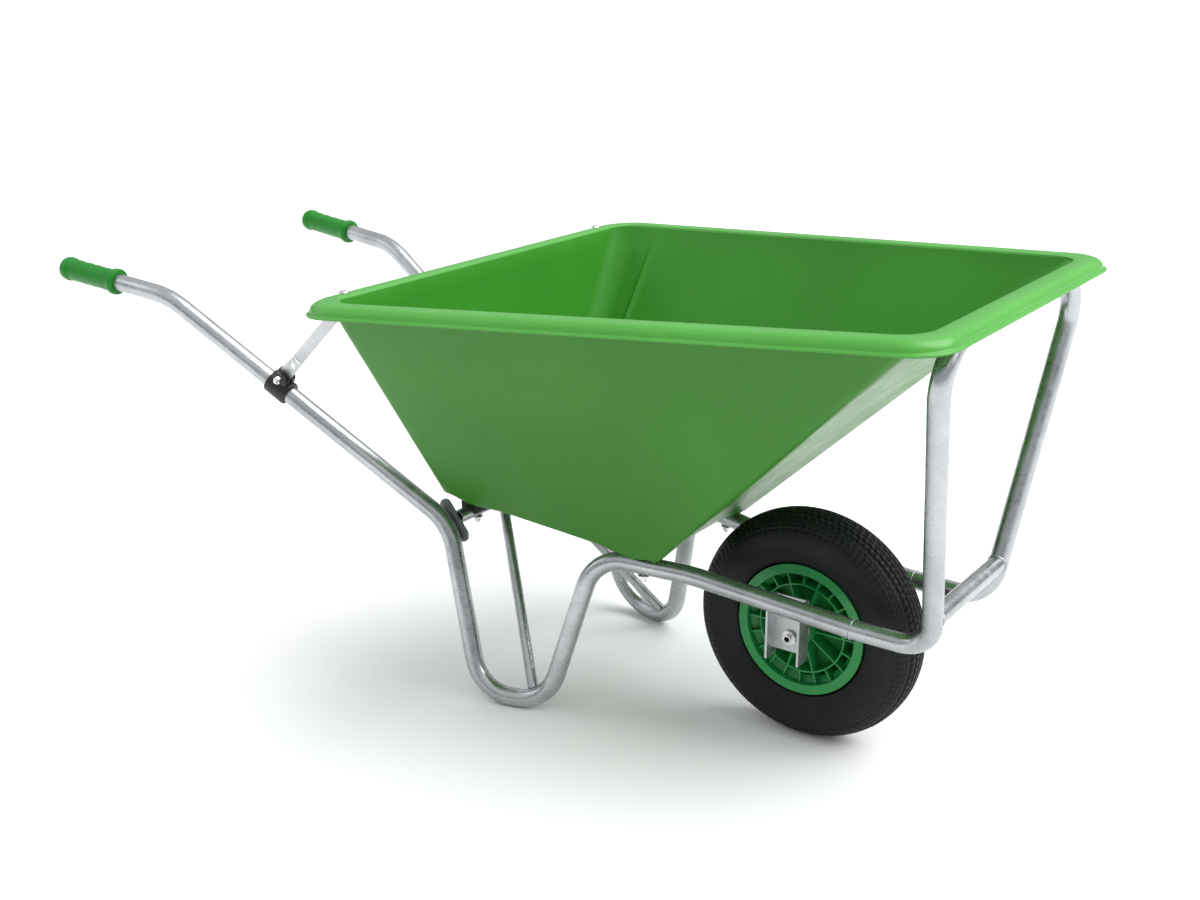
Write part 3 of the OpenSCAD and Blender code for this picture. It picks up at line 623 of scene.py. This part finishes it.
def make_tub():
    outer = body_sections(0.0, OUTER_TOP)
    inner = body_sections(TUB_WALL, INNER_TOP)
    wall, edge = mouth(0.0, MOUTH_EDGE_ROUND), bead()
    rim = []
    for share, height in rim_profile():
        rim.append([in_rim_plane(w.lerp(e, share), height * MM) for w, e in zip(wall, edge)])
        if share == 1.0:
            # from the outermost point on, the rim runs in to the rounder inner mouth
            wall = mouth(0.0)
    shell = Builder()
    shell.loft(outer + rim + inner[::-1])
    tub = shell.make("tub_shell", 40)
    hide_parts("tub")
    dress(tub, "tub_plastic")
    # lighter copies of the same plastic: painted light on the inside and on the rim
    for lit_copy in ("tub_inside_painted_light", "tub_rim_painted_light"):
        tub.data.materials.append(MATERIALS[lit_copy])
    middle = tub_middle()
    # faces above the rim's plane take the rim's painted light, inward faces the inside's painted light, the rest
    # the outside's painted shade
    for face in tub.data.polygons:
        above = (face.center - RIM_ORIGIN).dot(RIM_Z)
        inward = face.normal.dot(middle - face.center) > 0
        on_painted_rim_light = above > PAINTED_RIM_LIGHT_FROM and not (inward and above < INNER_TOP)
        face.material_index = RIM_PAINTED_LIGHT if on_painted_rim_light else INSIDE_PAINTED_LIGHT if inward else OUTSIDE_PAINTED_SHADE


def tub_middle():
    """A point in the mouth, a little behind its middle, that the inside faces look towards."""
    low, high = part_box("tub")
    return Vector(((low.x + high.x) / 2 - 0.05, 0, high.z))


# ---- tyre ----------------------------------------------------------------------------------

# mm: radius of the carcass's centre line, height of the crown above it, and half width
CARCASS_R, CROWN, HALF_WIDTH = 151, 49, 48.6
# mm: radius of the round inner face, about the same centre line
INNER_FACE_R = 41
# angles from the crown to a bead, outside and inside
OUTER_SPAN, INNER_SPAN = math.radians(128), math.radians(126)


def around_axle(radius, lateral, angle):
    return Vector((AXLE.x + radius * math.cos(angle), lateral, AXLE.z + radius * math.sin(angle)))


def tyre_skin_point(t):
    """Radius and lateral place on the smooth tyre; t runs from one bead (-1) to the other (1)."""
    a = t * OUTER_SPAN
    side = math.copysign(abs(math.sin(a)) ** 0.86, math.sin(a))
    lift = math.cos(a)
    crown = CROWN * (math.copysign(abs(lift) ** 0.88, lift))
    return CARCASS_R + crown, HALF_WIDTH * side


TREAD_BLOCKS, BLOCK_PITCH = 100, 12.5
# lateral places in mm, from the middle of the tread
GROOVES = (5.5, 15.5, 25.5)
SHOULDER_FROM, SHOULDER_TO = 33.0, 45.5
SHOULDER_RINGS = (SHOULDER_FROM + 0.8, 38.6, 42.6)
# depths in mm: long grooves, slits across the ribs, shoulder rings, slits on the shoulder
GROOVE_DEEP, SLIT_DEEP, RING_DEEP, SHOULDER_SLIT_DEEP = 3.4, 2.2, 1.3, 1.5


def tread_cut(lateral, along):
    """Depth of the tread's grooves, in mm, at a lateral place and a distance round the tyre."""
    v = abs(lateral)
    side = 1 if lateral > 0 else -1
    turn = along / BLOCK_PITCH
    cut = 0.0
    for number, centre in enumerate(GROOVES):
        zigzag = 1.2 * (abs((turn + 0.5 * number + 0.25 * side) % 1 - 0.5) * 4 - 1)
        cut = max(cut, GROOVE_DEEP * smooth_step((2.4 - abs(v - centre - zigzag)) / 1.3))
    row = int((v + 4.5) // 10)
    phase = (turn + 0.37 * row + 0.2 * side) % 1
    if v < SHOULDER_FROM:
        slit = smooth_step((0.12 - abs(phase - 0.5)) / 0.06)
        reach = abs((v + 4.5) % 10 - 5)
        return max(cut, SLIT_DEEP * slit * smooth_step((reach - 1.0) / 1.0))
    fade = smooth_step((SHOULDER_TO - v) / 1.5)
    slit = smooth_step((0.13 - abs(phase - 0.5)) / 0.06)
    for ring in SHOULDER_RINGS:
        cut = max(cut, RING_DEEP * smooth_step((1.0 - abs(v - ring)) / 0.6))
    return max(cut, SHOULDER_SLIT_DEEP * slit) * fade


def make_tyre():
    turns, across, inside_steps = 1000, 104, 12
    loops = []
    for k in range(across + 1):
        t = -1 + 2 * k / across
        t = math.copysign(abs(t) ** 1.05, t)
        a = t * OUTER_SPAN
        radius, lateral = tyre_skin_point(t)
        # raised lines round the side wall, one near the shoulder and one near the bead
        ring = 0.7 * smooth_step((0.016 - abs(abs(t) - 0.665)) / 0.010)
        ring += 0.8 * smooth_step((0.014 - abs(abs(t) - 0.93)) / 0.008)
        loop = []
        for i in range(turns):
            angle = 2 * math.pi * i / turns
            along = i / turns * TREAD_BLOCKS * BLOCK_PITCH
            deep = tread_cut(lateral, along) if abs(t) < 0.75 else 0.0
            r = radius - deep * math.cos(a) + ring * math.cos(a)
            y = lateral - math.copysign(1, lateral) * abs(math.sin(a)) * (deep - ring)
            loop.append(around_axle(r * MM, y * MM, angle))
        loops.append(loop)
    for k in range(inside_steps + 1):
        a = (1 - 2 * k / inside_steps) * INNER_SPAN
        radius = (CARCASS_R + INNER_FACE_R * math.cos(a)) * MM
        lateral = INNER_FACE_R * math.sin(a) * MM
        angles = (2 * math.pi * i / turns for i in range(turns))
        loops.append([around_axle(radius, lateral, angle) for angle in angles])
    skin = Builder()
    skin.loft(loops, closed=True)
    tyre = skin.make("tyre_casing", 50)
    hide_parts("tyre")
    dress(tyre, "tyre_rubber", "wheel")


# ---- grips ---------------------------------------------------------------------------------

def lathe(origin, direction, rings, sides, radius_at):
    """Loops round an axis from (distance, radius) pairs in mm; radius_at shapes each point."""
    d = direction.normalized()
    u, v = side_axes(d)
    loops = []
    for s, r in rings:
        loop = []
        for k in range(sides):
            a = 2 * math.pi * k / sides
            real = radius_at(s, r, a)
            loop.append(origin + (d * s + (u * math.cos(a) + v * math.sin(a)) * real) * MM)
        loops.append(loop)
    return loops


# mm: the shaped body runs from 18 to 118 along the grip, and the bore fits over the tube
GRIP_LENGTH, GRIP_BODY_R = 137.0, 19.6
GRIP_BODY_FROM, GRIP_BODY_LONG, GRIP_BODY_STEPS = 18, 100, 60
GRIP_BORE_R = 16.15


def grip_rings():
    """The grip's profile: round end cap, body, flared collar and the bore."""
    cap = (math.pi / 2 * k / 8 for k in range(9))
    rings = [(-9.0 + 10 * (1 - math.cos(a)), 6 + 16 * math.sin(a)) for a in cap]
    rings += [(5, 22.8), (9, 23.0), (12, 22.6), (15, 21.2), (GRIP_BODY_FROM, GRIP_BODY_R)]
    for k in range(1, GRIP_BODY_STEPS + 1):
        rings.append((GRIP_BODY_FROM + GRIP_BODY_LONG * k / GRIP_BODY_STEPS, GRIP_BODY_R))
    rings += [(121, 20.6), (123.5, 22.8), (125.5, 24.4), (128, 25.0), (132, 25.0), (135, 24.4)]
    rings += [(GRIP_LENGTH - 0.6, 23.2), (GRIP_LENGTH, 21.5), (GRIP_LENGTH, 16.4)]
    rings += [(GRIP_LENGTH - 4, GRIP_BORE_R), (2, GRIP_BORE_R)]
    return rings


def grip_radius(s, r, a):
    """The body's radius at angle a; the cap, the collar and the bore stay round."""
    if s <= GRIP_BODY_FROM or s >= GRIP_BODY_FROM + GRIP_BODY_LONG:
        return r
    along = (s - GRIP_BODY_FROM) / GRIP_BODY_LONG
    # four shallow finger swells above and below, and a raised line along the underside
    swell = abs(math.sin(4 * math.pi * along)) ** 0.7
    ends = smooth_step(along / 0.06) * smooth_step((1 - along) / 0.06)
    line = math.exp(-((a - 1.5 * math.pi) / 0.10) ** 2)
    flank = math.exp(-((a - 0.25 * math.pi) / 0.12) ** 2)
    flank += math.exp(-((a - 0.75 * math.pi) / 0.12) ** 2)
    return r + ends * (1.8 * swell * math.sin(a) ** 2 + 1.5 * line + 0.8 * flank)


def make_grips():
    for side in ("left", "right"):
        end, wrist = HANDLE_END, WRIST
        if side == "right":
            end, wrist = mirrored(end), mirrored(wrist)
        shape = Builder()
        shape.loft(lathe(end, wrist - end, grip_rings(), 72, grip_radius))
        grip = shape.make(side + "_grip_moulding", 50)
        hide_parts(side + "_grip")
        dress(grip, "grip_plastic")


# ---- straps and their clamps ---------------------------------------------------------------

CLAMP_AT = WRIST.lerp(HIP, 0.41)
CLAMP_DIR = (HIP - WRIST).normalized()
EAR_DIR = CLAMP_DIR.cross(Vector((0, 0.25, 1))).cross(CLAMP_DIR).normalized()
CLAMP_SIDE = EAR_DIR.cross(CLAMP_DIR)
STRAP_FOOT = CLAMP_AT + EAR_DIR * 30 * MM
# mm: bolt holes in the straps, the edges' bevel and the thickness of the plates
STRAP_HOLE_R, PLATE_BEVEL = 4.3, 0.5
FOOT_THICK, ARM_THICK, TAB_THICK = 5, 4.4, 4.2


def plate(builder, origin, x_dir, z_dir, outer, holes, thick):
    """Flat bevelled plate with holes, its outlines in mm in the plane square to z_dir."""
    y_dir = z_dir.cross(x_dir)
    bm = bmesh.new()
    edges = []
    for ring in [outer] + holes:
        corners = [bm.verts.new(origin + (x_dir * x + y_dir * y) * MM) for x, y in ring]
        edges += [bm.edges.new((corners[i - 1], corners[i])) for i in range(len(corners))]
    bmesh.ops.triangle_fill(bm, edges=edges, use_beauty=True, use_dissolve=False)
    grown = bmesh.ops.extrude_face_region(bm, geom=list(bm.faces))
    top = [g for g in grown["geom"] if isinstance(g, bmesh.types.BMVert)]
    half = z_dir * thick * MM / 2
    for v in bm.verts:
        v.co += half if v in top else -half
    bmesh.ops.recalc_face_normals(bm, faces=bm.faces)
    rim = [e for e in bm.edges if len(e.link_faces) == 2 and e.calc_face_angle() > 1.0]
    bmesh.ops.bevel(
        bm, geom=rim, offset=PLATE_BEVEL * MM, segments=2, profile=0.6, affect="EDGES")
    bm.verts.index_update()
    builder.add([v.co.copy() for v in bm.verts], [[v.index for v in f.verts] for f in bm.faces])
    bm.free()


def bar_outline(length, w_start, w_end):
    """Long outline from (0, 0) with round ends, w_start wide at first and w_end at last."""
    points = []
    for k in range(17):
        a = math.pi / 2 + math.pi * k / 16
        points.append((w_start / 2 * math.cos(a), w_start / 2 * math.sin(a)))
    for k in range(17):
        a = -math.pi / 2 + math.pi * k / 16
        points.append((length + w_end / 2 * math.cos(a), w_end / 2 * math.sin(a)))
    return points


def slot_outline(cx, cy, w, h):
    """D-shaped slot: flat on the foot side, round on the far side."""
    points = [(cx - w / 2, cy + h / 2), (cx - w / 2, cy - h / 2)]
    for k in range(9):
        a = -math.pi / 2 + math.pi * k / 8
        points.append((cx + w / 2 * math.cos(a), cy + h / 2 * math.sin(a)))
    return points


def make_straps():
    """Each strap: slotted foot on the collar, long arm, two short tabs and a rim flange."""
    foot, head = STRAP_FOOT, at(-690, 356, 0)
    head.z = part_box("left_strap")[1].z - 2.5 * MM
    rise = (head - foot) - CLAMP_SIDE * (head - foot).dot(CLAMP_SIDE)
    bend = foot + rise * 0.2
    elbow = Vector((AXLE.x - 716 * MM, head.y - 10.5 * MM, 704 * MM))
    end = Vector((AXLE.x - 692 * MM, elbow.y, 706 * MM))
    lower, upper, run = bend - foot, elbow - bend, end - elbow
    span = lower.length / MM
    slots = [slot_outline(span - 22, 0, 11, 11), slot_outline(span - 4, 0, 9, 11)]
    bolt_hole = circle_points(STRAP_HOLE_R, 32)
    foot_outline = bar_outline(span, 25, 22)
    arm_dir = upper.normalized()
    arm_flat = (CLAMP_SIDE - arm_dir * CLAMP_SIDE.dot(arm_dir)).normalized()
    arm_start = bend + arm_dir * 7 * MM
    arm_outline = bar_outline(upper.length / MM - 7, 21, 20)
    run_outline = bar_outline(run.length / MM, 20, 18)
    tab_outline = bar_outline((head.z - end.z - 7 * MM) / MM, 18, 18)
    half_turn = (math.pi * k / 12 for k in range(13))
    round_end = [(11 * math.cos(a), 11 * math.sin(a)) for a in half_turn]
    flange = [(-9, -12), (7, -12), (7, 0)] + round_end + [(-9, 0)]
    for side in ("left", "right"):
        shape = Builder()
        plate(shape, foot, lower.normalized(), CLAMP_SIDE, foot_outline, slots + [bolt_hole],
              FOOT_THICK)
        plate(shape, arm_start, arm_dir, arm_flat, arm_outline, [], ARM_THICK)
        plate(shape, elbow, run.normalized(), LEFT, run_outline, [], TAB_THICK)
        plate(shape, end, UP, LEFT, tab_outline, [], TAB_THICK)
        plate(shape, head, RIM_X, RIM_Z, flange, [bolt_hole], FOOT_THICK)
        if side == "right":
            shape.mirror()
        strap = shape.make(side + "_strap_plate", 30)
        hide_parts(side + "_strap")
        dress(strap, "galvanised_plate")


# mm along the tube and outer radius of a collar's profile, and the radius of its bore
COLLAR = ((-23, 19.5), (-22.2, 21.2), (-20, 22), (20, 22), (22.2, 21.2), (23, 19.5))
COLLAR_BORE_R = 16.1
# degrees round the tube that one half covers, and its steps
HALF_FROM, HALF_TO, HALF_STEPS = 2.0, 178.0, 32
# mm off the split, and change of the outline, of each layer of an ear
EAR_LAYERS = ((2.7, -0.8), (3.5, 0), (11.5, 0), (12.6, -0.5), (13.2, -1.8))


def round_box(half_x, half_y, radius, steps=5):
    points = []
    for cx, cy, start in ((1, 1, 0), (-1, 1, 90), (-1, -1, 180), (1, -1, 270)):
        for k in range(steps + 1):
            a = math.radians(start + 90 * k / steps)
            points.append((cx * (half_x - radius) + radius * math.cos(a),
                           cy * (half_y - radius) + radius * math.sin(a)))
    return points


def half_clamp(sign):
    """One half of the left collar: a half ring, an ear beside the strap, and a web to it."""
    shape = Builder()
    loops = []
    for k in range(HALF_STEPS + 1):
        a = math.radians(HALF_FROM + (HALF_TO - HALF_FROM) * k / HALF_STEPS)
        out = CLAMP_SIDE * math.sin(a) * sign + EAR_DIR * math.cos(a)
        loop = [CLAMP_AT + (CLAMP_DIR * x + out * r) * MM for x, r in COLLAR]
        loop += [CLAMP_AT + (CLAMP_DIR * x + out * COLLAR_BORE_R) * MM for x, _ in COLLAR[::-1]]
        loops.append(loop)
    shape.loft(loops)
    ear = []
    for y, grow in EAR_LAYERS:
        outline = round_box(17 + grow, 11 + grow, 7 + grow)
        centre = CLAMP_AT + (EAR_DIR * 28 + CLAMP_SIDE * sign * y) * MM
        ear.append([centre + (CLAMP_DIR * p + EAR_DIR * q) * MM for p, q in outline])
    shape.loft(ear)
    web = []
    for z in (16.5, 24):
        centre = CLAMP_AT + (EAR_DIR * z + CLAMP_SIDE * sign * 8) * MM
        outline = round_box(15, 4.6, 2)
        web.append([centre + (CLAMP_DIR * p + CLAMP_SIDE * q) * MM for p, q in outline])
    shape.loft(web)
    return shape


def make_clamps():
    """Moulded split collars, one half each side of the strap."""
    for side in ("left", "right"):
        for half, sign in (("upper", 1), ("lower", -1)):
            shape = half_clamp(sign)
            if side == "right":
                shape.mirror()
            name = side + "_clamp_" + half
            clamp = shape.make(name + "_moulding", 40)
            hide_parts(name)
            dress(clamp, "clamp_plastic")


# ---- welds ---------------------------------------------------------------------------------

# mm: radii the weld beads follow, just off the 30 mm cross tube and the 32 mm hoop and rail
CROSS_WELD_R, HOOP_WELD_R, SEAM_R = 15.4, 16.3, 16.1
# mm: radii of the beads themselves
CROSS_BEAD_R, SEAM_BEAD_R = 1.9, 0.9


def bead_loops(path, r, seed):
    """A weld bead along a closed path, its thickness rippling as the pool froze."""
    def section(i):
        ripple = 1 + 0.16 * math.sin(i * 1.9 + seed) + 0.12 * wave_noise(i * 0.8, seed)
        return circle_points(r * ripple * MM, 10)
    return sweep(path, section)


def saddle(centre, axis, radius, onto_centre, onto_dir, onto_r, steps=96):
    """Closed curve where a tube meets the near side of another tube."""
    u, v = side_axes(axis)
    axis = axis.normalized()
    onto_dir = onto_dir.normalized()
    path = []
    for k in range(steps):
        a = 2 * math.pi * k / steps
        p = centre + (u * math.cos(a) + v * math.sin(a)) * radius
        # slide along the axis to the other tube's surface, the nearer root of a quadratic
        rel = p - onto_centre
        flat_rel = rel - onto_dir * rel.dot(onto_dir)
        flat_axis = axis - onto_dir * axis.dot(onto_dir)
        qa = flat_axis.dot(flat_axis)
        qb = 2 * flat_rel.dot(flat_axis)
        qc = flat_rel.dot(flat_rel) - onto_r ** 2
        root = max(0, qb * qb - 4 * qa * qc)
        path.append(p + axis * (-qb - math.sqrt(root)) / (2 * qa))
    return path


def make_welds():
    """Beads where the nose tube meets the hoop, and round the hoop's seam with each rail."""
    share = (NOSE_CROSS_Z - HOOP_FOOT.z) / (HOOP_TOP.z - HOOP_FOOT.z)
    leg = HOOP_FOOT.lerp(HOOP_TOP, share)
    nose = saddle(Vector((leg.x, 0, leg.z)), LEFT, CROSS_WELD_R * MM,
                  leg, HOOP_TOP - HOOP_FOOT, HOOP_WELD_R * MM)
    u, v = side_axes((RAIL_FRONT - HOOP_FOOT).normalized())
    angles = (2 * math.pi * k / 90 for k in range(90))
    seam = [RAIL_FRONT + (u * math.cos(a) + v * math.sin(a)) * SEAM_R * MM for a in angles]
    for side in ("left", "right"):
        shape = Builder()
        shape.loft(bead_loops(nose, CROSS_BEAD_R, 1.0), closed=True)
        shape.loft(bead_loops(seam, SEAM_BEAD_R, 2.0), closed=True)
        if side == "right":
            shape.mirror()
        weld = shape.make(side + "_nose_welds", 60)
        dress(weld, "galvanised_plate")


# ---- camera, light and floor ---------------------------------------------------------------

# fitted to the photo: yaw, pitch and roll in degrees, place from the axle in metres
CAMERA_ANGLES = (35.02, -18.69, -0.12)
CAMERA_FROM_AXLE = Vector((1.0412, -2.1007, 1.089))
FOCAL_PIXELS, PHOTO_WIDTH = 1515.56, 1200


def make_camera():
    yaw, pitch, roll = (math.radians(a) for a in CAMERA_ANGLES)
    level = math.cos(pitch)
    forward = Vector((-math.sin(yaw) * level, math.cos(yaw) * level, math.sin(pitch)))
    right = Vector((math.cos(yaw), math.sin(yaw), 0))
    up = right.cross(forward)
    right, up = (
        right * math.cos(roll) + up * math.sin(roll),
        up * math.cos(roll) - right * math.sin(roll),
    )
    data = bpy.data.cameras.new("camera")
    data.sensor_width = 36
    data.lens = FOCAL_PIXELS * data.sensor_width / PHOTO_WIDTH
    data.clip_end = 200
    cam = bpy.data.objects.new("camera", data)
    bpy.context.scene.collection.objects.link(cam)
    turn = Matrix((right, up, -forward)).transposed().to_4x4()
    cam.matrix_world = Matrix.Translation(AXLE + CAMERA_FROM_AXLE) @ turn
    bpy.context.scene.camera = cam


def make_floor():
    """Pale floor, 45 m each way from the middle, so its edge is far from the camera."""
    size, steps = 45.0, 6
    verts, faces = [], []
    for i in range(steps + 1):
        for k in range(steps + 1):
            x, y = 2 * i / steps - 1, 2 * k / steps - 1
            verts.append(Vector((size * x, size * y, 0)))
    for i in range(steps):
        for k in range(steps):
            a = i * (steps + 1) + k
            faces.append([a, a + steps + 1, a + steps + 2, a + 1])
    floor = mesh_object("floor", verts, faces)
    mat, bsdf, co = new_material("pale floor")
    cloud = noise(mat, co, 0.8, 3.0)
    shade = ramp(mat, cloud, [(0.3, (0.93, 0.93, 0.93)), (0.7, (0.95, 0.95, 0.95))])
    link(mat, shade, bsdf.inputs["Base Color"])
    bsdf.inputs["Roughness"].default_value = 0.7
    bsdf.inputs["Specular IOR Level"].default_value = 0.15
    floor.data.materials.append(mat)


def area_light(name, place, target, width, height, power):
    data = bpy.data.lights.new(name, "AREA")
    data.shape = "RECTANGLE"
    data.size, data.size_y = width, height
    data.energy = power
    lamp = bpy.data.objects.new(name, data)
    bpy.context.scene.collection.objects.link(lamp)
    lamp.location = place
    lamp.rotation_euler = (target - place).to_track_quat("-Z", "Y").to_euler()


def make_lights():
    """Pale sky that darkens to the horizon, a wide soft sun and two softboxes."""
    world = bpy.data.worlds.new("studio")
    bpy.context.scene.world = world
    world.use_nodes = True
    tree = world.node_tree
    sky = tree.nodes.new("ShaderNodeTexCoord")
    split = tree.nodes.new("ShaderNodeSeparateXYZ")
    shade = tree.nodes.new("ShaderNodeValToRGB")
    for element, (pos, value) in zip(shade.color_ramp.elements, ((0.02, 0.24), (0.55, 1.0))):
        element.position = pos
        element.color = (value * 0.97, value * 0.99, value, 1)
    tree.links.new(sky.outputs["Generated"], split.inputs["Vector"])
    tree.links.new(split.outputs["Z"], shade.inputs["Fac"])
    background = tree.nodes["Background"]
    tree.links.new(shade.outputs["Color"], background.inputs["Color"])
    background.inputs["Strength"].default_value = 0.85
    middle = (cad_box[0] + cad_box[1]) / 2
    sun = bpy.data.lights.new("top light", "SUN")
    sun.energy = 2.8
    sun.angle = math.radians(60)
    lamp = bpy.data.objects.new("top light", sun)
    bpy.context.scene.collection.objects.link(lamp)
    lamp.rotation_euler = Vector((-0.5, -0.3, -1.0)).to_track_quat("-Z", "Y").to_euler()
    area_light("left softbox", middle + Vector((-3.0, -2.0, 1.6)), middle, 1.0, 2.4, 10)
    area_light("front softbox", middle + Vector((3.4, 0.6, 2.0)), middle, 2.4, 1.6, 30)
    bpy.context.scene.view_settings.view_transform = "Standard"


make_camera()
dress_cad_nodes()
make_tub()
make_tyre()
make_grips()
make_straps()
make_clamps()
make_welds()
make_floor()
make_lights()
